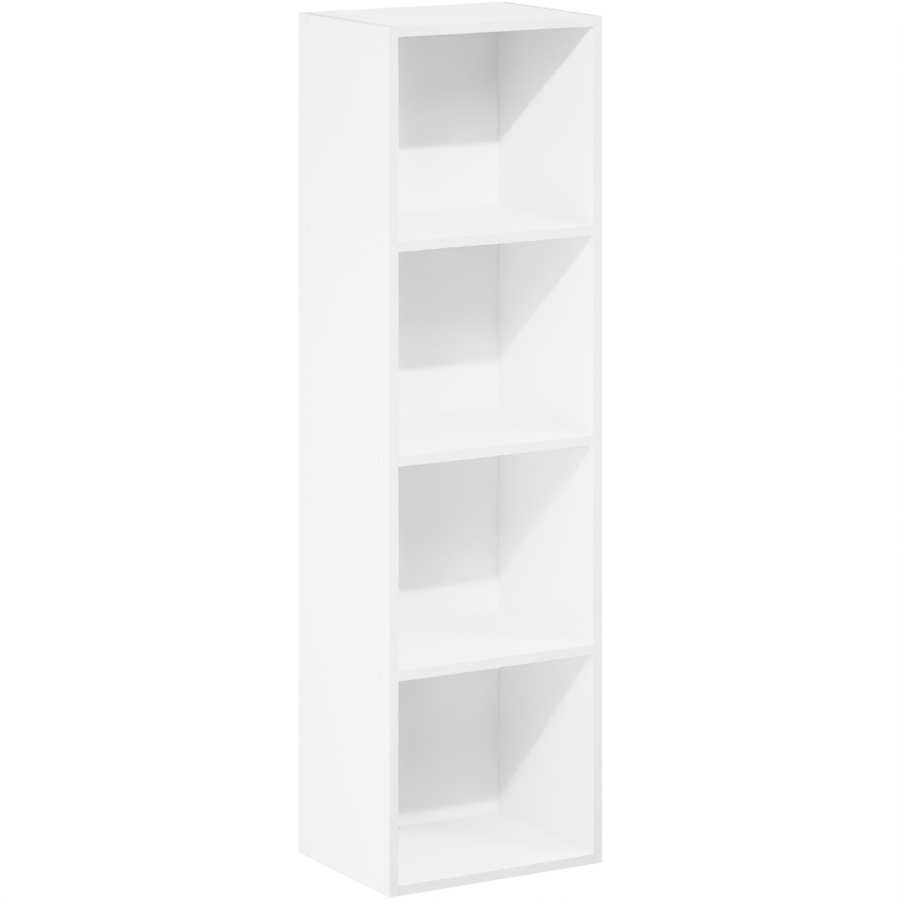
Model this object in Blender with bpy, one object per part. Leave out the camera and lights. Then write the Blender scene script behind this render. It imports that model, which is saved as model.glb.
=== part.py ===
"""A narrow open bookcase with four compartments.

Seven laminated boards are screwed together through the two sides, every screw head is hidden by
a small cap, and a thin back sheet is nailed into the rear edges. Nothing on it moves.

Units are metres and +Z is up. The front faces -Y, left is -X, and the origin lies on the floor
in the middle of the footprint.
"""

import math

import bmesh
import bpy
from mathutils import Matrix, Vector

# Boards
WIDTH = 0.305  # over the outer faces of the two sides
HEIGHT = 1.058
SIDE_DEPTH = 0.233  # front edge to rear edge of every board
BOARD = 0.0125  # thickness of every board
TIERS = 4
EASED_EDGE = 0.0005  # chamfer along the edges of the boards
GAP = 0.0003  # clearance between pieces that touch

# Back sheet
SHEET = 0.003
SHEET_MARGIN = 0.002  # the sheet stops this far inside the outline of the boards

# Countersunk chipboard screws, two at each end of each board
SCREW_INSET = 0.024  # from the front edge and from the rear edge
SCREW_LENGTH = 0.040
HEAD_RADIUS = 0.0034
HEAD_SUNK = 0.0002  # depth of the head's top below the face of the side
NECK_RADIUS = 0.0013
THREAD_RADIUS = 0.00175
ROOT_RADIUS = 0.0011
THREAD_START = 0.011
THREAD_RIDGES = 7
TIP_LENGTH = 0.004
RECESS_RADIUS = 0.0016  # of the driver recess, at its mouth
RECESS_FOOT_RADIUS = 0.0009
RECESS_DEPTH = 0.0020
SCREW_SIDES = 8

# Press-in caps over the screw heads
CAP_RADIUS = 0.0041
CAP_HEIGHT = 0.0009
CAP_RIM = 0.0004  # height of the cap at its rim
CAP_SHOULDER = 0.75  # share of the radius where the dome levels off
STEM_RADIUS = 0.0006
STEM_REACH = 0.0014  # how far the stem goes below the face of the side
CAP_SIDES = 12

# Nails through the back sheet
NAIL_LENGTH = 0.020
NAIL_RADIUS = 0.0008
NAIL_HEAD_RADIUS = 0.0020
NAIL_HEAD = 0.0008
NAIL_TIP = 0.0020
NAIL_SIDES = 8

# Drilling
OVERSHOOT = 0.001  # how far a cutter stands out of the face that it enters
PILOT_SPARE = 0.002  # empty depth past the tip of a screw or nail
DRILL_POINT = 0.6  # height of a drill's point as a share of its radius
MERGE_DISTANCE = 0.000001

# Worked out from the above
DEPTH = SIDE_DEPTH + GAP + SHEET
FRONT_Y = -DEPTH / 2
BOARD_CENTRE_Y = FRONT_Y + SIDE_DEPTH / 2
EDGE_Y = FRONT_Y + SIDE_DEPTH  # rear edges of the boards
REAR_Y = DEPTH / 2
SIDE_X = (WIDTH - BOARD) / 2
INNER_WIDTH = WIDTH - 2 * BOARD - 2 * GAP
TIER_PITCH = (HEIGHT - BOARD) / TIERS

LEVELS = ("bottom_board", "lower_shelf", "middle_shelf", "upper_shelf", "top_board")
SIDES = {"left": -1, "right": 1}
SCREW_ROWS = {"front": FRONT_Y + SCREW_INSET, "rear": EDGE_Y - SCREW_INSET}


def clear_scene():
    for old in list(bpy.data.objects):
        bpy.data.objects.remove(old)


def material(name, colour, roughness, metallic=0.0):
    """A Principled BSDF with one colour, roughness and metallic value."""
    made = bpy.data.materials.new(name)
    made.use_nodes = True
    shader = made.node_tree.nodes["Principled BSDF"]
    shader.inputs["Base Color"].default_value = (*colour, 1)
    shader.inputs["Roughness"].default_value = roughness
    shader.inputs["Metallic"].default_value = metallic
    made.diffuse_color = (*colour, 1)
    return made


def add_object(name, bm, finish=None):
    """Turns a bmesh into an object under the bookcase's empty."""
    mesh = bpy.data.meshes.new(name)
    bm.to_mesh(mesh)
    bm.free()
    made = bpy.data.objects.new(name, mesh)
    bpy.context.scene.collection.objects.link(made)
    made.parent = bpy.data.objects["bookcase"]
    if finish:
        mesh.materials.append(finish)
    return made


def turned(profile, sides):
    """A solid of revolution about Z. The profile is a list of (radius, height) points that starts
    and ends on the axis, from top to bottom."""
    bm = bmesh.new()
    points = [bm.verts.new((radius, 0, height)) for radius, height in profile]
    lines = [bm.edges.new(pair) for pair in zip(points, points[1:])]
    bmesh.ops.spin(
        bm,
        geom=points + lines,
        cent=(0, 0, 0),
        axis=(0, 0, 1),
        angle=math.tau,
        steps=sides,
        use_merge=True,
    )
    bmesh.ops.remove_doubles(bm, verts=bm.verts, dist=MERGE_DISTANCE)
    bmesh.ops.recalc_face_normals(bm, faces=bm.faces)
    return bm


def facing(point, direction):
    """The placement that puts a turned shape's top at the point, looking along the direction."""
    turn = Vector(direction).to_track_quat("Z", "Y").to_matrix().to_4x4()
    return Matrix.Translation(point) @ turn


def fastener(name, bm, finish, point, direction):
    """A turned piece in its place, shaded smooth between its sharp corners."""
    made = add_object(name, bm, finish)
    made.matrix_world = facing(point, direction)
    made.data.shade_smooth()
    made.data.set_sharp_from_angle(angle=math.radians(40))
    return made


def board(name, size, centre, finish):
    """A rectangular board with a fine chamfer along its edges."""
    bm = bmesh.new()
    bmesh.ops.create_cube(bm, size=1, matrix=Matrix.Diagonal((*size, 1)))
    made = add_object(name, bm, finish)
    made.location = centre
    chamfer = made.modifiers.new("eased_edges", "BEVEL")
    chamfer.width = EASED_EDGE
    chamfer.segments = 1
    chamfer.limit_method = "ANGLE"
    return made


def drill(target, bits):
    """Cuts holes. A bit is (profile, sides, point, direction), with the mouth at the point."""
    bm = bmesh.new()
    for profile, sides, point, direction in bits:
        bit = turned(profile, sides)
        bit.transform(facing(point, direction))
        mesh = bpy.data.meshes.new("bit")
        bit.to_mesh(mesh)
        bit.free()
        bm.from_mesh(mesh)
        bpy.data.meshes.remove(mesh)
    cutter = add_object(f"{target.name}_drill", bm)
    cutter.hide_render = True
    cutter.display_type = "WIRE"
    cut = target.modifiers.new("holes", "BOOLEAN")
    cut.operation = "DIFFERENCE"
    cut.solver = "EXACT"
    cut.object = cutter


def screw_profile():
    """Driver recess, countersunk head, plain neck, ridged thread and point."""
    neck_top = HEAD_RADIUS - NECK_RADIUS  # the head's cone is at 45 degrees
    thread_end = SCREW_LENGTH - TIP_LENGTH
    ridge = (thread_end - THREAD_START) / THREAD_RIDGES
    points = [
        (0, -RECESS_DEPTH),
        (RECESS_FOOT_RADIUS, -RECESS_DEPTH),
        (RECESS_RADIUS, 0),
        (HEAD_RADIUS, 0),
        (NECK_RADIUS, -neck_top),
    ]
    for turn in range(THREAD_RIDGES):
        top = THREAD_START + turn * ridge
        points.append((ROOT_RADIUS, -top))
        points.append((THREAD_RADIUS, -(top + ridge / 2)))
    points.append((ROOT_RADIUS, -thread_end))
    points.append((0, -SCREW_LENGTH))
    return points


def cap_profile():
    """Low dome with a thin rim, and a stem that presses into the screw's recess."""
    return [
        (0, CAP_HEIGHT),
        (CAP_RADIUS * CAP_SHOULDER, CAP_HEIGHT * CAP_SHOULDER),
        (CAP_RADIUS, CAP_RIM),
        (CAP_RADIUS, 0),
        (STEM_RADIUS, 0),
        (STEM_RADIUS, -(STEM_REACH + GAP)),
        (0, -(STEM_REACH + GAP)),
    ]


def nail_profile():
    """Flat round head, shank and point."""
    return [
        (0, 0),
        (NAIL_HEAD_RADIUS, 0),
        (NAIL_HEAD_RADIUS, -NAIL_HEAD),
        (NAIL_RADIUS, -NAIL_HEAD),
        (NAIL_RADIUS, -(NAIL_LENGTH - NAIL_TIP)),
        (0, -NAIL_LENGTH),
    ]


def countersunk_hole():
    """Clearance hole through a side, with a cone for the screw's head."""
    mouth = HEAD_RADIUS + HEAD_SUNK + GAP
    hole = THREAD_RADIUS + GAP
    far = BOARD + OVERSHOOT
    return [
        (0, OVERSHOOT),
        (mouth + OVERSHOOT, OVERSHOOT),
        (hole, -(mouth - hole)),
        (hole, -far),
        (0, -far),
    ]


def counterbored_hole():
    """Clearance hole through the back sheet, with a seat for the nail's head."""
    seat = NAIL_HEAD_RADIUS + GAP
    hole = NAIL_RADIUS + GAP
    far = SHEET + OVERSHOOT
    return [
        (0, OVERSHOOT),
        (seat, OVERSHOOT),
        (seat, -(NAIL_HEAD + GAP)),
        (hole, -(NAIL_HEAD + GAP)),
        (hole, -far),
        (0, -far),
    ]


def pilot_hole(radius, depth):
    """Blind hole with a drill's point at its foot."""
    return [
        (0, OVERSHOOT),
        (radius, OVERSHOOT),
        (radius, -depth),
        (0, -(depth + DRILL_POINT * radius)),
    ]


def screw_seats():
    """(name, side, level, y, z) for every screw."""
    seats = []
    for level, level_name in enumerate(LEVELS):
        z = BOARD / 2 + level * TIER_PITCH
        for side_name, side in SIDES.items():
            for row_name, y in SCREW_ROWS.items():
                name = f"{level_name.split('_')[0]}_{side_name}_{row_name}"
                seats.append((name, side, level, y, z))
    return seats


def nail_seats():
    """(name, board, x, z) for every nail: one beside each tier on each side, and two along the top
    and bottom boards."""
    seats = []
    for side_name, side in SIDES.items():
        for tier in range(TIERS):
            z = BOARD / 2 + (tier + 0.5) * TIER_PITCH
            seats.append((f"{side_name}_{tier + 1}", f"{side_name}_side", side * SIDE_X, z))
    for level_name, z in (("bottom", BOARD / 2), ("top", HEIGHT - BOARD / 2)):
        for side_name, side in SIDES.items():
            x = side * WIDTH / 5
            seats.append((f"{level_name}_{side_name}", f"{level_name}_board", x, z))
    return seats


def build_boards(laminate):
    for side_name, side in SIDES.items():
        size = (BOARD, SIDE_DEPTH, HEIGHT)
        centre = (side * SIDE_X, BOARD_CENTRE_Y, HEIGHT / 2)
        board(f"{side_name}_side", size, centre, laminate)
    for level, name in enumerate(LEVELS):
        size = (INNER_WIDTH, SIDE_DEPTH, BOARD)
        centre = (0, BOARD_CENTRE_Y, BOARD / 2 + level * TIER_PITCH)
        board(name, size, centre, laminate)


def build_back_sheet(finish):
    size = (WIDTH - 2 * SHEET_MARGIN, SHEET, HEIGHT - 2 * SHEET_MARGIN)
    centre = (0, REAR_Y - SHEET / 2, HEIGHT / 2)
    board("back_sheet", size, centre, finish)


def build_screws_and_caps(steel, plastic):
    for name, side, _, y, z in screw_seats():
        outward = (side, 0, 0)
        head = (side * (WIDTH / 2 - HEAD_SUNK), y, z)
        fastener(f"screw_{name}", turned(screw_profile(), SCREW_SIDES), steel, head, outward)
        seat = (side * (WIDTH / 2 + GAP), y, z)
        fastener(f"cap_{name}", turned(cap_profile(), CAP_SIDES), plastic, seat, outward)


def build_nails(steel):
    for name, _, x, z in nail_seats():
        head = (x, REAR_Y, z)
        fastener(f"nail_{name}", turned(nail_profile(), NAIL_SIDES), steel, head, (0, 1, 0))


def drill_boards():
    """Holes for every screw and nail, cut board by board."""
    bits = {}
    reach = SCREW_LENGTH + HEAD_SUNK - BOARD - GAP  # length of screw inside the end of a board
    screw_pilot = pilot_hole(THREAD_RADIUS + GAP, reach + PILOT_SPARE)
    for _, side, level, y, z in screw_seats():
        side_name = "left_side" if side < 0 else "right_side"
        outward = (side, 0, 0)
        face = (side * WIDTH / 2, y, z)
        end = (side * INNER_WIDTH / 2, y, z)
        bits.setdefault(side_name, []).append((countersunk_hole(), SCREW_SIDES, face, outward))
        bits.setdefault(LEVELS[level], []).append((screw_pilot, SCREW_SIDES, end, outward))
    nail_pilot = pilot_hole(NAIL_RADIUS + GAP, NAIL_LENGTH - SHEET - GAP + PILOT_SPARE)
    for _, board_name, x, z in nail_seats():
        backward = (0, 1, 0)
        bits[board_name].append((nail_pilot, NAIL_SIDES, (x, EDGE_Y, z), backward))
        hole = (counterbored_hole(), NAIL_SIDES, (x, REAR_Y, z), backward)
        bits.setdefault("back_sheet", []).append(hole)
    for name, list_of_bits in bits.items():
        drill(bpy.data.objects[name], list_of_bits)


def build():
    clear_scene()
    bookcase = bpy.data.objects.new("bookcase", None)
    bpy.context.scene.collection.objects.link(bookcase)
    laminate = material("white_laminate", (0.86, 0.86, 0.86), roughness=0.45)
    sheet = material("white_sheet", (0.84, 0.84, 0.84), roughness=0.55)
    plastic = material("white_cap", (0.82, 0.82, 0.82), roughness=0.35)
    zinc = material("zinc_screw", (0.72, 0.72, 0.74), roughness=0.35, metallic=1.0)
    bright = material("bright_nail", (0.55, 0.55, 0.56), roughness=0.4, metallic=1.0)
    build_boards(laminate)
    build_back_sheet(sheet)
    build_screws_and_caps(zinc, plastic)
    build_nails(bright)
    drill_boards()


build()
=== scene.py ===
"""The looks of a narrow open bookcase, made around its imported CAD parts.

Each piece stands for one CAD node, apart from the edge strips: in the CAD they are the outermost
half millimetre of the boards. Units are metres, the front faces -Y and the floor is at Z = 0.
"""

import math

import bmesh
import bpy
from mathutils import Matrix, Vector


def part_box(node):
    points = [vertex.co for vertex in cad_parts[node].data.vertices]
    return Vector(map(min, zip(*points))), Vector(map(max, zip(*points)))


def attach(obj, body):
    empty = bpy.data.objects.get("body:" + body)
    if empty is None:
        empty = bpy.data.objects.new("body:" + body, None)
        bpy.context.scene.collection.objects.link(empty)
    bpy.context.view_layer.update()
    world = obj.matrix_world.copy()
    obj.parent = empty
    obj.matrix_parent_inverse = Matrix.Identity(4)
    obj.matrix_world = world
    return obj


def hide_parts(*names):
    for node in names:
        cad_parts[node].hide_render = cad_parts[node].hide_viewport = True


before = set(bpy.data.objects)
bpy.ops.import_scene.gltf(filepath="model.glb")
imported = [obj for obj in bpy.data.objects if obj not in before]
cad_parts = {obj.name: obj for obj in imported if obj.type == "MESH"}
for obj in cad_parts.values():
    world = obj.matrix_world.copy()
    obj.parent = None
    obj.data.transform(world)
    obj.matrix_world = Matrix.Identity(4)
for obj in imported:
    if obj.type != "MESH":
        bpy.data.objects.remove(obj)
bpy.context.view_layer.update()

BODY = "root"

# Boards, in order from the floor up
SIDES = {"left": "left_side", "right": "right_side"}
LEVELS = ("bottom_board", "lower_shelf", "middle_shelf", "upper_shelf", "top_board")
STRIP = 0.0005  # thickness of the edge strips
STRIP_ROUND = 0.0004  # radius of their outer corners
ARRIS = 0.00015  # rounding where a board's faces meet its edges
SEAM = 0.00004  # hairline left between pieces that are pressed together
ROUND_STEPS = 4
BROAD_TILT = 0.2  # how far a face has to look along a board's thickness to count as its broad face

# Smooth shading: corners sharper than this stay sharp, in degrees
BOARD_CREASE = 30
FASTENER_CREASE = 40

# Whites, as the share of light that they send back
LAMINATE_WHITE = 0.88
SHEET_FILM_WHITE = 0.88
STRIP_WHITES_WITH_PAINTED_SHADE = (0.54, 0.67, 0.54)  # for strips that run along X, Y and Z: greyer than the laminate partly in their own tone and partly as painted shade, and the front-facing X and Z strips darker than the upward-facing Y strips as painted shade
# the caps' white is lowered partly for the plastic's own tone and partly as painted shade for their
# small domes
CAP_WHITE_WITH_PAINTED_SHADE = 0.75
FLOOR_WHITE = 0.85

# Holes
HOLE_SIDES = 32
OVERSHOOT = 0.001  # how far a cutter stands out of the face that it enters
SPARE = 0.002  # empty depth past the tip of a screw or nail
POINT_SLOPE = 0.6  # height of a drill's point as a share of its radius

# Screws
HEAD_SUNK = 0.0002  # depth of the head below the face of the side
HEAD_LAND = 0.0002  # height of the head's straight rim
NECK_RADIUS = 0.0013
ROOT_RADIUS = 0.0011
THREAD_RADIUS = 0.00175
THREAD_PITCH = 0.0019
THREAD_START = 0.011
THREAD_FADE = 0.002
THREAD_WIDTH = 0.24  # half the thread's width at its root, as a share of the pitch
TIP_LENGTH = 0.004
THREAD_STEPS = 8  # rings in one pitch
SCREW_SIDES = 20
RECESS_ARM = 0.0018  # reach of the cross recess, at its mouth
RECESS_HALF_WIDTH = 0.0005
RECESS_DEPTH = 0.0020
RECESS_TAPER = 0.55  # size of the recess at its foot, as a share of its size at the mouth

# Caps
CAP_SIDES = 48
CAP_STEPS = 10
CAP_RIM = 0.00045  # height of the cap's rim above the face of the side
CAP_ROUND = 0.0002
CAP_FULLNESS = 4  # how late the dome falls away towards the rim
STEM_RADIUS = 0.0006
STEM_REACH = 0.0014

# Nails
NAIL_SIDES = 32
NAIL_HEAD = 0.0008
NAIL_CROWN = 0.00012  # fall of the crown towards the rim, and width of the rim's bevel
NAIL_RADIUS = 0.0008
NAIL_GRIP = 0.00008  # height of the rings under the nail's head
NAIL_GRIP_RINGS = 6
NAIL_GRIP_PITCH = 0.0005
NAIL_TIP = 0.0022
NAIL_PLAY = 0.00012

# Camera: level, so that upright edges stay parallel, and shifted down to the object
CAMERA_PLACE = (-2.885, -4.959, 1.5795)
CAMERA_TURN = -30.607  # degrees about Z
CAMERA_LENS = 182.904
CAMERA_SENSOR = 36
CAMERA_SHIFT = (-0.0361, -0.9462)

# Studio
FLOOR_RADIUS = 22
FLOOR_SIDES = 96
FILM_WHITE = 1.6  # the brightness that is shown as plain white
FILM_CURVE = (
    # brightness, share of full white: a weak toe, then a shoulder that gathers the lit whites
    (0.08, 0.04),
    (0.40, 0.36),
    (0.78, 0.74),
    (0.90, 0.829),
    (1.00, 0.862),
    (1.20, 0.905),
)
STUDIO_LIGHTS = (
    # name, place, point it is aimed at, width of the disk, spread in degrees, watts
    ("key_light", (-1.64, -2.98, 3.13), (0, 0, 0.55), 0.10, 180, 71.4),
    ("fill_light", (-1.60, -2.90, 2.40), (0, 0, 0.55), 0.5, 180, 15.4),
    ("high_light", (-1.60, -1.60, 2.60), (0, 0, 0.55), 1.0, 180, 11.5),
    ("front_light", (-0.60, -2.00, 2.40), (0, 0, 0.30), 1.0, 50, 1.55),
    ("low_light", (-1.30, -1.10, 0.35), (0, 0, 0.50), 0.6, 40, 0.42),
    ("foot_light", (-1.50, -2.00, 0.40), (0, 0, 0.20), 0.6, 50, 0.52),
    ("right_light", (2.20, -2.60, 1.60), (0, 0, 0.55), 1.6, 180, 74),
    ("left_light", (-3.50, 0.30, 1.20), (0, 0, 0.55), 2.5, 180, 52),
    ("top_light", (0.00, 0.00, 4.00), (0, 0, 0.55), 2.5, 180, 57.6),
    ("rear_right_light", (3.20, 0.90, 0.80), (0, 0, 0.55), 1.5, 180, 8),
)
REAR_PANEL = (180, 12)  # azimuth and elevation, in degrees
REAR_PANEL_BRIGHTNESS = 1.6
REAR_PANEL_SHARPNESS = 8


# ---------------------------------------------------------------- materials


class Shader:
    """A Principled BSDF and the nodes that feed it, all in metres of object space."""

    def __init__(self, name):
        self.material = bpy.data.materials.new(name)
        self.material.use_nodes = True
        self.tree = self.material.node_tree
        self.surface = self.tree.nodes["Principled BSDF"]
        self.place = self.node("ShaderNodeTexCoord").outputs["Object"]

    def node(self, kind, **settings):
        made = self.tree.nodes.new(kind)
        for key, value in settings.items():
            setattr(made, key, value)
        return made

    def feed(self, socket, value):
        if isinstance(value, bpy.types.NodeSocket):
            self.tree.links.new(value, socket)
        else:
            socket.default_value = value

    def stretched(self, scale):
        """Object space multiplied by a scale for each axis."""
        made = self.node("ShaderNodeMapping")
        self.feed(made.inputs["Vector"], self.place)
        made.inputs["Scale"].default_value = scale
        return made.outputs["Vector"]

    def noise(self, scale, detail=3.0, roughness=0.5, stretch=(1, 1, 1)):
        made = self.node("ShaderNodeTexNoise")
        self.feed(made.inputs["Vector"], self.stretched(stretch))
        made.inputs["Scale"].default_value = scale
        made.inputs["Detail"].default_value = detail
        made.inputs["Roughness"].default_value = roughness
        return made.outputs["Fac"]

    def cells(self, scale, stretch=(1, 1, 1)):
        """(distance to the nearest chip's centre, that chip's own random colour)."""
        made = self.node("ShaderNodeTexVoronoi")
        self.feed(made.inputs["Vector"], self.stretched(stretch))
        made.inputs["Scale"].default_value = scale
        return made.outputs["Distance"], made.outputs["Color"]

    def spread(self, value, low, high):
        """Brings a noise's middle range, 0.3 to 0.7, to low to high."""
        made = self.node("ShaderNodeMapRange")
        self.feed(made.inputs["Value"], value)
        made.inputs["From Min"].default_value = 0.3
        made.inputs["From Max"].default_value = 0.7
        made.inputs["To Min"].default_value = low
        made.inputs["To Max"].default_value = high
        return made.outputs["Result"]

    def combine(self, operation, first, second):
        """One number worked out from two."""
        made = self.node("ShaderNodeMath", operation=operation)
        self.feed(made.inputs[0], first)
        self.feed(made.inputs[1], second)
        return made.outputs["Value"]

    def ramp(self, value, stops):
        """Colour by value, through (position, colour) stops."""
        made = self.node("ShaderNodeValToRGB")
        self.feed(made.inputs["Fac"], value)
        elements = made.color_ramp.elements
        while len(elements) < len(stops):
            elements.new(0.5)
        for element, (position, colour) in zip(elements, stops):
            element.position = position
            element.color = (*colour, 1)
        return made.outputs["Color"]

    def shaded(self, colour, factor):
        """A colour multiplied by a grey factor."""
        made = self.node("ShaderNodeMix", data_type="RGBA", blend_type="MULTIPLY")
        made.inputs["Factor"].default_value = 1
        self.feed(made.inputs["A"], colour)
        self.feed(made.inputs["B"], factor)
        return made.outputs["Result"]

    def bump(self, height, depth, strength=1.0):
        made = self.node("ShaderNodeBump")
        self.feed(made.inputs["Height"], height)
        made.inputs["Distance"].default_value = depth
        made.inputs["Strength"].default_value = strength
        self.feed(self.surface.inputs["Normal"], made.outputs["Normal"])

    def finish(self, colour, roughness, metallic=0.0, specular=0.3):
        if not isinstance(colour, bpy.types.NodeSocket):
            colour = (*colour, 1)
        self.feed(self.surface.inputs["Base Color"], colour)
        self.feed(self.surface.inputs["Roughness"], roughness)
        self.feed(self.surface.inputs["Metallic"], metallic)
        self.feed(self.surface.inputs["Specular IOR Level"], specular)
        return self.material


def grey(level):
    """An opaque grey."""
    return (level, level, level, 1)


def laminate_material():
    """White melamine: a hard, faintly pearled skin with hardly visible clouds in its white."""
    shader = Shader("white_laminate")
    clouds = shader.spread(shader.noise(9, detail=2), 0.992, 1.008)
    specks = shader.spread(shader.noise(700, detail=1), 0.994, 1.006)
    tone = shader.combine("MULTIPLY", clouds, specks)
    colour = shader.shaded(grey(LAMINATE_WHITE), tone)
    pearl = shader.noise(1300, detail=2, roughness=0.4)
    shader.bump(pearl, depth=0.00003, strength=0.35)
    polish = shader.spread(shader.noise(14, detail=4), 0.43, 0.53)
    return shader.finish(colour, polish)


def strip_material(axis, white):
    """Edge strip: a greyer white than the boards, partly the strip's own tone and partly painted
    shade, with fine streaks along its length.
    """
    shader = Shader(f"painted_shade_edge_strip_{'xyz'[axis]}")
    along = [1, 1, 1]
    along[axis] = 0.03
    streaks = shader.noise(1600, detail=3, roughness=0.6, stretch=along)
    tone = shader.spread(streaks, 0.975, 1.02)
    blotches = shader.spread(shader.noise(35, detail=3), 0.988, 1.012)
    colour = shader.shaded(grey(white), shader.combine("MULTIPLY", tone, blotches))
    shader.bump(streaks, depth=0.00002, strength=0.4)
    return shader.finish(colour, shader.spread(streaks, 0.42, 0.56))


def chipboard_material():
    """Sawn chipboard: pressed wood flakes with dark pores between them."""
    shader = Shader("raw_chipboard")
    distance, chip = shader.cells(420, stretch=(1, 1, 2.2))
    woods = shader.ramp(
        chip,
        (
            (0.0, (0.20, 0.13, 0.07)),
            (0.25, (0.40, 0.28, 0.17)),
            (0.6, (0.56, 0.43, 0.28)),
            (1.0, (0.68, 0.56, 0.40)),
        ),
    )
    fibres = shader.noise(2600, detail=3, roughness=0.6, stretch=(1, 1, 3))
    colour = shader.shaded(woods, shader.spread(fibres, 0.82, 1.08))
    height = shader.combine("SUBTRACT", fibres, distance)
    shader.bump(height, depth=0.00018, strength=0.8)
    return shader.finish(colour, 0.85, specular=0.15)


def sheet_face_material():
    """The back sheet's white front: a printed film, finer and duller than the boards' laminate."""
    shader = Shader("white_sheet_film")
    clouds = shader.spread(shader.noise(6, detail=3), 0.99, 1.01)
    fibres = shader.noise(900, detail=3, roughness=0.6)
    tone = shader.combine("MULTIPLY", clouds, shader.spread(fibres, 0.995, 1.005))
    colour = shader.shaded(grey(SHEET_FILM_WHITE), tone)
    shader.bump(fibres, depth=0.00002, strength=0.3)
    return shader.finish(colour, shader.spread(shader.noise(20, detail=3), 0.5, 0.6))


def hardboard_material():
    """The sheet's raw rear and edges: felted brown fibre."""
    shader = Shader("raw_hardboard")
    clouds = shader.noise(18, detail=4, roughness=0.55)
    felt = shader.noise(650, detail=5, roughness=0.7)
    long_fibres = shader.noise(300, detail=4, roughness=0.7, stretch=(1, 1, 0.25))
    cross_fibres = shader.noise(300, detail=4, roughness=0.7, stretch=(0.25, 1, 1))
    fibres = shader.combine("MAXIMUM", long_fibres, cross_fibres)
    browns = shader.ramp(
        shader.spread(clouds, 0.0, 1.0),
        (
            (0.0, (0.415, 0.273, 0.157)),
            (0.5, (0.440, 0.292, 0.170)),
            (1.0, (0.462, 0.311, 0.184)),
        ),
    )
    felt_tone = shader.spread(felt, 0.86, 1.12)
    fibre_tone = shader.spread(fibres, 0.94, 1.10)
    flecks = shader.combine("MULTIPLY", felt_tone, fibre_tone)
    shader.bump(shader.combine("ADD", felt, fibres), depth=0.00008, strength=0.6)
    return shader.finish(shader.shaded(browns, flecks), shader.spread(felt, 0.62, 0.8), specular=0.25)


def cap_material():
    """Moulded white plastic, greyer than the laminate partly in its own tone and partly as painted
    shade on the small dome, with a satin sheen.
    """
    shader = Shader("white_cap_plastic")
    flow = shader.noise(900, detail=2)
    colour = shader.shaded(grey(CAP_WHITE_WITH_PAINTED_SHADE), shader.spread(flow, 0.98, 1.02))
    shader.bump(flow, depth=0.00002, strength=0.4)
    material = shader.finish(colour, shader.spread(flow, 0.34, 0.44), specular=0.45)
    shader.surface.inputs["Subsurface Weight"].default_value = 0.08
    shader.surface.inputs["Subsurface Radius"].default_value = (0.0008, 0.0008, 0.0008)
    return material


def metal_material(name, light, dark, rough, scratch_scale):
    """Plated steel wire: a mottled plating with fine scratches round the axis."""
    shader = Shader(name)
    mottle = shader.noise(1400, detail=4, roughness=0.6)
    scratches = shader.noise(scratch_scale, detail=3, roughness=0.7, stretch=(0.15, 0.15, 4))
    colour = shader.ramp(shader.spread(mottle, 0.0, 1.0), ((0.0, dark), (1.0, light)))
    polish = shader.combine("MULTIPLY", shader.spread(mottle, 0.85, 1.2), rough)
    shader.bump(scratches, depth=0.00003, strength=0.4)
    return shader.finish(colour, polish, metallic=1.0, specular=0.5)


def zinc_material():
    light, dark = (0.74, 0.74, 0.75), (0.58, 0.58, 0.60)
    return metal_material("zinc_steel", light, dark, rough=0.34, scratch_scale=1500)


def nail_material():
    light, dark = (0.60, 0.60, 0.61), (0.42, 0.41, 0.40)
    return metal_material("nail_steel", light, dark, rough=0.42, scratch_scale=900)


# ---------------------------------------------------------------- mesh building


def block(low, high, radius, is_rounded=None):
    """A rectangular solid. is_rounded(middle of an edge) picks the edges that are rounded."""
    low, high = Vector(low), Vector(high)
    bm = bmesh.new()
    place = Matrix.Translation((low + high) / 2) @ Matrix.Diagonal((*(high - low), 1))
    bmesh.ops.create_cube(bm, size=1, matrix=place)
    edges = []
    for edge in bm.edges:
        middle = (edge.verts[0].co + edge.verts[1].co) / 2
        if is_rounded is None or is_rounded(middle):
            edges.append(edge)
    bmesh.ops.bevel(
        bm,
        geom=edges,
        offset=radius,
        offset_type="OFFSET",
        segments=ROUND_STEPS,
        profile=0.5,
        affect="EDGES",
    )
    bmesh.ops.recalc_face_normals(bm, faces=bm.faces)
    return bm


def turned(profile, sides, ridge=None):
    """A solid of revolution about Z. The profile's (radius, height) points run from top to bottom
    and start and end on the axis. ridge(angle, height) is added to the radius."""
    bm = bmesh.new()
    rings = []
    for radius, height in profile:
        if radius == 0:
            rings.append([bm.verts.new((0, 0, height))] * sides)
            continue
        ring = []
        for step in range(sides):
            angle = math.tau * step / sides
            reach = radius + (ridge(angle, height) if ridge else 0)
            ring.append(bm.verts.new((reach * math.cos(angle), reach * math.sin(angle), height)))
        rings.append(ring)
    for upper, lower in zip(rings, rings[1:]):
        for step in range(sides):
            after = (step + 1) % sides
            corners = (upper[step], lower[step], lower[after], upper[after])
            bm.faces.new(list(dict.fromkeys(corners)))  # at the axis, two corners are the same
    bmesh.ops.recalc_face_normals(bm, faces=bm.faces)
    return bm


def facing(point, outward):
    """The placement that puts a turned shape's top at the point, looking outward."""
    turn = Vector(outward).to_track_quat("Z", "Y").to_matrix().to_4x4()
    return Matrix.Translation(point) @ turn


def add_object(name, mesh, materials=()):
    made = bpy.data.objects.new(name, mesh)
    bpy.context.scene.collection.objects.link(made)
    for material in materials:
        mesh.materials.append(material)
    return made


def to_mesh(name, bm):
    mesh = bpy.data.meshes.new(name)
    bm.to_mesh(mesh)
    bm.free()
    return mesh


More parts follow.
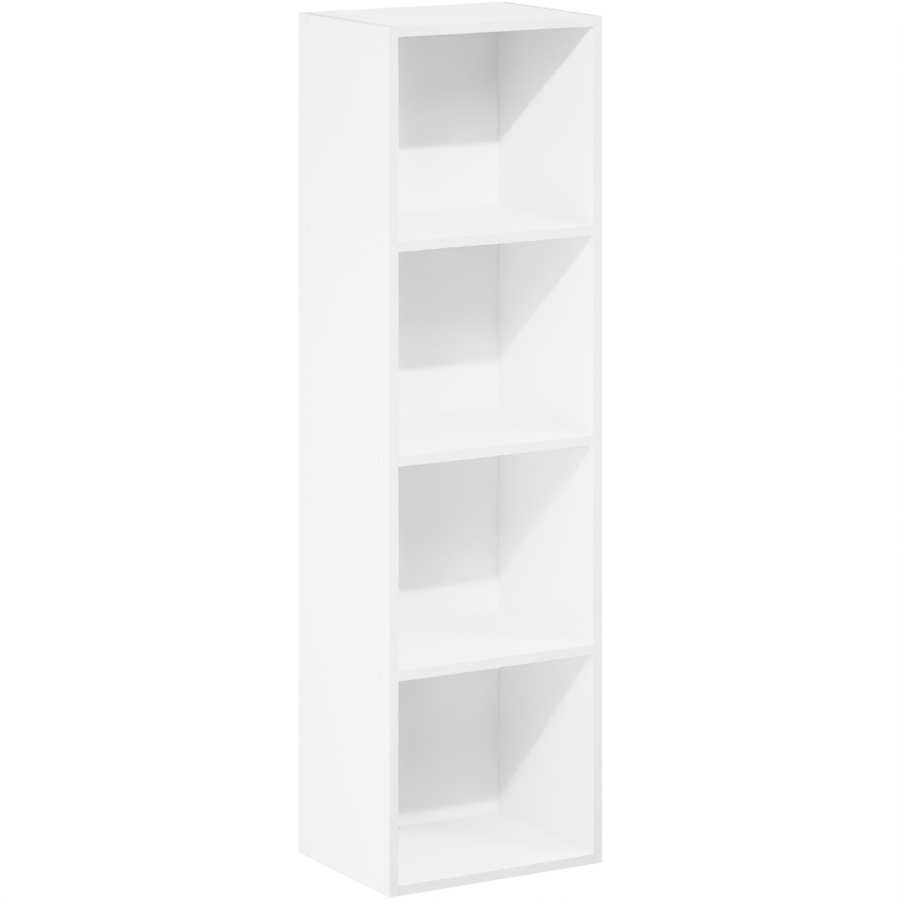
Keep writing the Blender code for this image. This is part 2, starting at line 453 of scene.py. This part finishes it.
def carve(target, cutter):
    """Cuts a closed cutter out of the target for good. The cut faces take the second material."""
    for face in cutter.faces:
        face.material_index = 1
    tool = add_object("cutter", to_mesh("cutter", cutter), target.data.materials)
    cut = target.modifiers.new("cut", "BOOLEAN")
    cut.operation = "DIFFERENCE"
    cut.solver = "EXACT"
    cut.object = tool
    shaped = target.evaluated_get(bpy.context.evaluated_depsgraph_get())
    target.data = bpy.data.meshes.new_from_object(shaped)
    target.modifiers.clear()
    bpy.data.objects.remove(tool)


def joined(shapes):
    """One bmesh from several that don't meet."""
    whole = bmesh.new()
    for shape in shapes:
        mesh = to_mesh("part", shape)
        whole.from_mesh(mesh)
        bpy.data.meshes.remove(mesh)
    return whole


def shade(piece):
    """Smooth shading between the piece's sharp corners, with broad faces kept flat."""
    piece.data.shade_smooth()
    piece.data.set_sharp_from_angle(angle=math.radians(BOARD_CREASE))
    weighting = piece.modifiers.new("flat_faces", "WEIGHTED_NORMAL")
    weighting.keep_sharp = True


def shade_shared(mesh):
    """Smooth shading for a mesh that many fasteners share."""
    mesh.shade_smooth()
    mesh.set_sharp_from_angle(angle=math.radians(FASTENER_CREASE))


def settle(piece, node):
    """Ties a finished piece to its body and hides the CAD node that it stands for."""
    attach(piece, BODY)
    if node:
        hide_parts(node)


# ---------------------------------------------------------------- sizes read from the frame


def centre(node):
    low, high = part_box(node)
    return (low + high) / 2


def fastener_names(kind):
    return sorted(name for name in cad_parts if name.startswith(f"{kind}_"))


def side_of(name):
    """-1 for a fastener in the left side, 1 for one in the right side."""
    return -1 if centre(name).x < 0 else 1


def screw_face(name):
    """The point where a screw's axis meets the outer face of its side, and the way out."""
    side = side_of(name)
    low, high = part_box(SIDES["left"] if side < 0 else SIDES["right"])
    middle = centre(name)
    return Vector((low.x if side < 0 else high.x, middle.y, middle.z)), Vector((side, 0, 0))


def nail_face(name):
    """The point where a nail's axis meets the sheet's rear face, and the way out."""
    middle = centre(name)
    return Vector((middle.x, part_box("back_sheet")[1].y, middle.z)), Vector((0, 1, 0))


def board_box(name):
    """A board's outline, drawn out to the pieces that it is screwed or nailed against."""
    low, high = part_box(name)
    high.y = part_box("back_sheet")[0].y - SEAM
    if name in LEVELS:
        low.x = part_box("left_side")[1].x + SEAM
        high.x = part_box("right_side")[0].x - SEAM
    return low, high


# ---------------------------------------------------------------- boards and strips


def straight_hole(radius, depth):
    """Drilled hole, with the cone that the drill's point leaves at its foot."""
    return [
        (0, OVERSHOOT),
        (radius, OVERSHOOT),
        (radius, -depth),
        (0, -(depth + POINT_SLOPE * radius)),
    ]


def countersunk_hole(depth):
    """Clearance hole through a side, with a cone for the screw's head."""
    mouth = screw_radius() + HEAD_SUNK + SEAM
    hole = THREAD_RADIUS + SEAM
    return [
        (0, OVERSHOOT),
        (mouth + OVERSHOOT, OVERSHOOT),
        (hole, -(mouth - hole)),
        (hole, -(depth + OVERSHOOT)),
        (0, -(depth + OVERSHOOT)),
    ]


def nail_head_hole(depth):
    """Hole through the sheet, with a seat for the nail's head."""
    seat = nail_radius() + NAIL_PLAY
    hole = NAIL_RADIUS + NAIL_GRIP + SEAM
    return [
        (0, OVERSHOOT),
        (seat, OVERSHOOT),
        (seat, -(NAIL_HEAD + SEAM)),
        (hole, -(NAIL_HEAD + SEAM)),
        (hole, -(depth + OVERSHOOT)),
        (0, -(depth + OVERSHOOT)),
    ]


def bit(profile, point, outward):
    """A cutter for one hole, whose mouth is at the point."""
    shape = turned(profile, HOLE_SIDES)
    shape.transform(facing(point, outward))
    return shape


def board_bits(name):
    """Every hole in one board."""
    low, high = board_box(name)
    bits = []
    for screw in fastener_names("screw"):
        face, outward = screw_face(screw)
        if name in LEVELS and low.z < face.z < high.z:
            end = Vector((high.x if outward.x > 0 else low.x, face.y, face.z))
            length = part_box(screw)[1].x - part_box(screw)[0].x
            depth = length - abs(face.x - end.x) + SPARE
            bits.append(bit(straight_hole(THREAD_RADIUS, depth), end, outward))
        elif name in SIDES.values() and low.x - SEAM < face.x < high.x + SEAM:
            bits.append(bit(countersunk_hole(high.x - low.x), face, outward))
    for nail in fastener_names("nail"):
        face, outward = nail_face(nail)
        if low.x < face.x < high.x and low.z < face.z < high.z:
            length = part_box(nail)[1].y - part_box(nail)[0].y
            depth = length - (face.y - high.y) + SPARE
            mouth = Vector((face.x, high.y, face.z))
            bits.append(bit(straight_hole(NAIL_RADIUS + NAIL_GRIP + SEAM, depth), mouth, outward))
    return bits


def paint_broad_faces(bm, axis, way=0):
    """First material on the faces that look along the axis, second on the sawn edges. Rounded
    corners go with the broad faces. A way of -1 or 1 paints one broad face only."""
    for face in bm.faces:
        tilt = face.normal[axis]
        broad = tilt * way > BROAD_TILT if way else abs(tilt) > BROAD_TILT
        face.material_index = 0 if broad else 1


def make_board(name, laminate, chipboard):
    """One laminated board without its strips, with its holes."""
    low, high = board_box(name)
    thin_axis = 2 if name in LEVELS else 0
    low.y += STRIP + SEAM
    if name in SIDES.values():
        high.z -= STRIP + SEAM
    bm = block(low, high, ARRIS)
    paint_broad_faces(bm, thin_axis)
    piece = add_object(f"{name}_panel", to_mesh(f"{name}_panel", bm), (laminate, chipboard))
    carve(piece, joined(board_bits(name)))
    shade(piece)
    settle(piece, name)


def make_front_strip(name, strip):
    """The strip along a board's front edge, rounded where it meets the air."""
    low, high = board_box(name)
    high.y = low.y + STRIP
    ends_show = name in SIDES.values()

    def is_rounded(middle):
        across = abs(middle.x - (low.x + high.x) / 2) < STRIP
        return middle.y < low.y + STRIP / 2 and (ends_show or across)

    bm = block(low, high, STRIP_ROUND, is_rounded)
    piece = add_object(f"{name}_front_strip", to_mesh(f"{name}_front_strip", bm), (strip,))
    shade(piece)
    settle(piece, None)


def make_top_strip(name, strip):
    """The strip on a side's upper end, behind the front strip."""
    low, high = board_box(name)
    low.y += STRIP + SEAM
    low.z = high.z - STRIP

    def is_rounded(middle):
        behind = middle.y > low.y + STRIP
        return middle.z > high.z - STRIP / 2 and behind

    bm = block(low, high, STRIP_ROUND, is_rounded)
    piece = add_object(f"{name}_top_strip", to_mesh(f"{name}_top_strip", bm), (strip,))
    shade(piece)
    settle(piece, None)


def make_back_sheet(film, hardboard):
    """The thin sheet, white in front and raw behind, with seats for the nails' heads."""
    low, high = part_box("back_sheet")
    bm = block(low, high, ARRIS)
    paint_broad_faces(bm, axis=1, way=-1)
    piece = add_object("back_sheet_panel", to_mesh("back_sheet_panel", bm), (film, hardboard))
    bits = []
    for nail in fastener_names("nail"):
        face, outward = nail_face(nail)
        bits.append(bit(nail_head_hole(high.y - low.y), face, outward))
    carve(piece, joined(bits))
    shade(piece)
    settle(piece, "back_sheet")


# ---------------------------------------------------------------- fasteners


def screw_radius():
    low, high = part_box(fastener_names("screw")[0])
    return (high.z - low.z) / 2


def screw_length():
    low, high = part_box(fastener_names("screw")[0])
    return high.x - low.x


def nail_radius():
    low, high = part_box(fastener_names("nail")[0])
    return (high.z - low.z) / 2


def nail_length():
    low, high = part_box(fastener_names("nail")[0])
    return high.y - low.y


def thread(angle, height):
    """Height of the helical thread above the shank's root, fading out at both of its ends."""
    along = -height
    end = screw_length()
    if not THREAD_START < along < end:
        return 0
    turn = (along / THREAD_PITCH + angle / math.tau) % 1
    crest = max(0, 1 - abs(turn - 0.5) / THREAD_WIDTH)
    start_fade = min(1, (along - THREAD_START) / THREAD_FADE)
    end_fade = min(1, (end - along) / TIP_LENGTH)
    return (THREAD_RADIUS - ROOT_RADIUS) * crest * start_fade * end_fade


def screw_profile():
    """Countersunk head, plain neck, threaded shank and point."""
    head = screw_radius()
    end = screw_length()
    cone_foot = HEAD_LAND + head - NECK_RADIUS
    points = [
        (0, 0),
        (head, 0),
        (head, -HEAD_LAND),
        (NECK_RADIUS, -cone_foot),
        (NECK_RADIUS, -(THREAD_START - THREAD_FADE)),
    ]
    step = THREAD_PITCH / THREAD_STEPS
    rings = int((end - THREAD_START) / step)
    for ring in range(rings):
        along = THREAD_START + ring * step
        taper = min(1, (end - along) / TIP_LENGTH)
        points.append((ROOT_RADIUS * taper, -along))
    points.append((0, -end))
    return points


def cross_cutter():
    """Tapered cross for the driver's recess."""
    bm = bmesh.new()
    width, arm = RECESS_HALF_WIDTH, RECESS_ARM
    quarter = ((arm, -width), (arm, width), (width, width))
    levels = []
    for height, scale in ((OVERSHOOT, 1), (0, 1), (-RECESS_DEPTH, RECESS_TAPER)):
        ring = []
        for turn in range(4):
            rotation = Matrix.Rotation(turn * math.pi / 2, 3, "Z")
            for x, y in quarter:
                reach = scale if x == arm else 1  # only the arms get shorter with depth
                ring.append(bm.verts.new(rotation @ Vector((x * reach, y, height))))
        levels.append(ring)
    for upper, lower in zip(levels, levels[1:]):
        for step in range(len(upper)):
            after = (step + 1) % len(upper)
            bm.faces.new((upper[step], lower[step], lower[after], upper[after]))
    bm.faces.new(levels[0])
    bm.faces.new(levels[-1])
    bmesh.ops.recalc_face_normals(bm, faces=bm.faces)
    return bm


def screw_mesh(steel):
    """One screw, which all twenty share. Its recess takes the second material, the same steel."""
    bm = turned(screw_profile(), SCREW_SIDES, thread)
    model = add_object("screw_model", to_mesh("zinc_screw", bm), (steel, steel))
    carve(model, cross_cutter())
    mesh = model.data
    bpy.data.objects.remove(model)
    return mesh


def make_screws(steel):
    mesh = screw_mesh(steel)
    for node in fastener_names("screw"):
        face, outward = screw_face(node)
        piece = add_object(f"zinc_{node}", mesh)
        piece.matrix_world = facing(face - outward * HEAD_SUNK, outward)
        settle(piece, node)
    shade_shared(mesh)


def cap_profile(radius, height):
    """Low dome with a soft rim, and a stem that presses into the screw's recess."""
    points = [(0, height)]
    brim = radius - CAP_ROUND
    for step in range(1, CAP_STEPS + 1):
        share = step / CAP_STEPS
        fall = 1 - share**CAP_FULLNESS
        points.append((brim * share, CAP_RIM + (height - CAP_RIM) * fall))
    for step in range(1, ROUND_STEPS + 1):
        angle = math.pi / 2 * step / ROUND_STEPS
        drop = CAP_ROUND * (1 - math.cos(angle))
        points.append((brim + CAP_ROUND * math.sin(angle), CAP_RIM - drop))
    points += [
        (radius, SEAM),
        (STEM_RADIUS, SEAM),
        (STEM_RADIUS, -STEM_REACH),
        (0, -STEM_REACH),
    ]
    return points


def make_caps(plastic):
    nodes = fastener_names("cap")
    low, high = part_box(nodes[0])
    radius = (high.z - low.z) / 2
    face, outward = screw_face(nodes[0])
    top = low.x if outward.x < 0 else high.x
    bm = turned(cap_profile(radius, abs(top - face.x)), CAP_SIDES)
    mesh = to_mesh("domed_cap", bm)
    mesh.materials.append(plastic)
    for node in nodes:
        piece = add_object(f"domed_{node}", mesh)
        piece.matrix_world = facing(*screw_face(node))
        settle(piece, node)
    shade_shared(mesh)


def nail_profile():
    """Slightly crowned head, ringed grip, shank and point."""
    head = nail_radius()
    end = nail_length()
    points = [
        (0, 0),
        (head * 0.5, -NAIL_CROWN * 0.15),
        (head - NAIL_CROWN, -NAIL_CROWN * 0.6),
        (head, -NAIL_CROWN * 1.4),
        (head, -(NAIL_HEAD - NAIL_CROWN)),
        (head - NAIL_CROWN, -NAIL_HEAD),
        (NAIL_RADIUS, -NAIL_HEAD),
    ]
    for ring in range(NAIL_GRIP_RINGS):
        top = NAIL_HEAD + (ring + 0.5) * NAIL_GRIP_PITCH
        points.append((NAIL_RADIUS, -top))
        points.append((NAIL_RADIUS + NAIL_GRIP, -(top + NAIL_GRIP_PITCH / 2)))
    points += [
        (NAIL_RADIUS, -(NAIL_HEAD + (NAIL_GRIP_RINGS + 0.5) * NAIL_GRIP_PITCH)),
        (NAIL_RADIUS, -(end - NAIL_TIP)),
        (0, -end),
    ]
    return points


def make_nails(steel):
    mesh = to_mesh("flat_nail", turned(nail_profile(), NAIL_SIDES))
    mesh.materials.append(steel)
    for node in fastener_names("nail"):
        piece = add_object(f"steel_{node}", mesh)
        piece.matrix_world = facing(*nail_face(node))
        settle(piece, node)
    shade_shared(mesh)


# ---------------------------------------------------------------- studio


def direction(azimuth, elevation):
    """The way from the object to a place in the room, with azimuth 0 in front and 90 at its right."""
    turn, tilt = math.radians(azimuth), math.radians(elevation)
    level = math.cos(tilt)
    return Vector((math.sin(turn) * level, -math.cos(turn) * level, math.sin(tilt)))


def make_lights():
    for name, place, aimed_at, width, spread, watts in STUDIO_LIGHTS:
        lamp = bpy.data.lights.new(name, "AREA")
        lamp.shape = "DISK"
        lamp.size = width
        lamp.spread = math.radians(spread)
        lamp.energy = watts
        holder = bpy.data.objects.new(name, lamp)
        bpy.context.scene.collection.objects.link(holder)
        backwards = Vector(place) - Vector(aimed_at)
        holder.location = place
        holder.rotation_euler = backwards.to_track_quat("Z", "Y").to_euler()
        holder.visible_camera = False


def make_room():
    """A soft bright panel behind the object, and plain white wherever the camera looks."""
    world = bpy.data.worlds.new("studio")
    world.use_nodes = True
    bpy.context.scene.world = world
    nodes, links = world.node_tree.nodes, world.node_tree.links

    def worked_out(kind, operation, value, other):
        made = nodes.new(kind)
        made.operation = operation
        links.new(value, made.inputs[0])
        made.inputs[1].default_value = other
        return made.outputs["Value"]

    view = nodes.new("ShaderNodeTexCoord").outputs["Generated"]
    near = worked_out("ShaderNodeVectorMath", "DOT_PRODUCT", view, direction(*REAR_PANEL))
    ahead = worked_out("ShaderNodeMath", "MAXIMUM", near, 0)
    panel = worked_out("ShaderNodeMath", "POWER", ahead, REAR_PANEL_SHARPNESS)
    strength = worked_out("ShaderNodeMath", "MULTIPLY", panel, REAR_PANEL_BRIGHTNESS)
    lit = nodes["Background"]
    lit.inputs["Color"].default_value = grey(1)
    links.new(strength, lit.inputs["Strength"])
    seen = nodes.new("ShaderNodeBackground")
    seen.inputs["Color"].default_value = grey(1)
    seen.inputs["Strength"].default_value = FILM_WHITE
    choose = nodes.new("ShaderNodeMixShader")
    links.new(nodes.new("ShaderNodeLightPath").outputs["Is Camera Ray"], choose.inputs["Fac"])
    links.new(lit.outputs["Background"], choose.inputs[1])
    links.new(seen.outputs["Background"], choose.inputs[2])
    links.new(choose.outputs["Shader"], nodes["World Output"].inputs["Surface"])


def floor_material():
    """Pale floor, which the camera sees burnt out to plain white."""
    shader = Shader("pale_floor")
    grain = shader.noise(60, detail=4)
    colour = shader.shaded(grey(FLOOR_WHITE), shader.spread(grain, 0.99, 1.01))
    shader.finish(colour, 0.8, specular=0.1)
    glow = shader.node("ShaderNodeEmission")
    shader.feed(glow.inputs["Strength"], FILM_WHITE)
    choose = shader.node("ShaderNodeMixShader")
    path = shader.node("ShaderNodeLightPath")
    shader.feed(choose.inputs["Fac"], path.outputs["Is Camera Ray"])
    shader.feed(choose.inputs[1], shader.surface.outputs["BSDF"])
    shader.feed(choose.inputs[2], glow.outputs["Emission"])
    output = shader.tree.nodes["Material Output"]
    shader.feed(output.inputs["Surface"], choose.outputs["Shader"])
    return shader.material


def make_floor():
    bm = bmesh.new()
    bmesh.ops.create_circle(bm, cap_ends=True, segments=FLOOR_SIDES, radius=FLOOR_RADIUS)
    floor = add_object("floor", to_mesh("floor", bm), (floor_material(),))


def make_camera():
    lens = bpy.data.cameras.new("camera")
    lens.sensor_width = CAMERA_SENSOR
    lens.lens = CAMERA_LENS
    lens.clip_end = 4 * FLOOR_RADIUS  # past the far edge of the floor from anywhere over it
    camera = bpy.data.objects.new("camera", lens)
    bpy.context.scene.collection.objects.link(camera)
    camera.location = CAMERA_PLACE
    camera.rotation_euler = (math.pi / 2, 0, math.radians(CAMERA_TURN))
    for path, amount in zip(("shift_x", "shift_y"), CAMERA_SHIFT):
        shift_at_home(camera, path, amount)
    bpy.context.scene.camera = camera


def shift_at_home(camera, path, amount):
    """Shifts the lens only while the camera is at its first place, so that it can be moved and
    aimed straight at the object for other views."""
    driver = camera.data.driver_add(path).driver
    driver.type = "SCRIPTED"
    place = driver.variables.new()
    place.name = "x"
    place.type = "SINGLE_PROP"
    place.targets[0].id = camera
    place.targets[0].data_path = "location[0]"
    driver.expression = f"{amount} if abs(x - {CAMERA_PLACE[0]}) < 0.001 else 0"


def set_display():
    """Bends brightness like photographic film, so that lit whites stay just short of the floor's."""
    display = bpy.context.scene.view_settings
    display.view_transform = "Standard"
    display.use_curve_mapping = True
    film = display.curve_mapping
    film.white_level = (FILM_WHITE, FILM_WHITE, FILM_WHITE)
    curve = film.curves[3]
    for brightness, shown in FILM_CURVE:
        curve.points.new(brightness / FILM_WHITE, shown)
    film.update()


# ---------------------------------------------------------------- the whole scene


def build():
    laminate = laminate_material()
    chipboard = chipboard_material()
    # each direction of strip gets its own white: painted light and shade for the way the strip faces
    # the lamps
    strips = [strip_material(axis, white) for axis, white in enumerate(STRIP_WHITES_WITH_PAINTED_SHADE)]
    for name in LEVELS:
        make_board(name, laminate, chipboard)
        make_front_strip(name, strips[0])
    for name in SIDES.values():
        make_board(name, laminate, chipboard)
        make_front_strip(name, strips[2])
        make_top_strip(name, strips[1])
    make_back_sheet(sheet_face_material(), hardboard_material())
    make_screws(zinc_material())
    make_caps(cap_material())
    make_nails(nail_material())
    make_floor()
    make_lights()
    make_room()
    make_camera()
    set_display()


build()
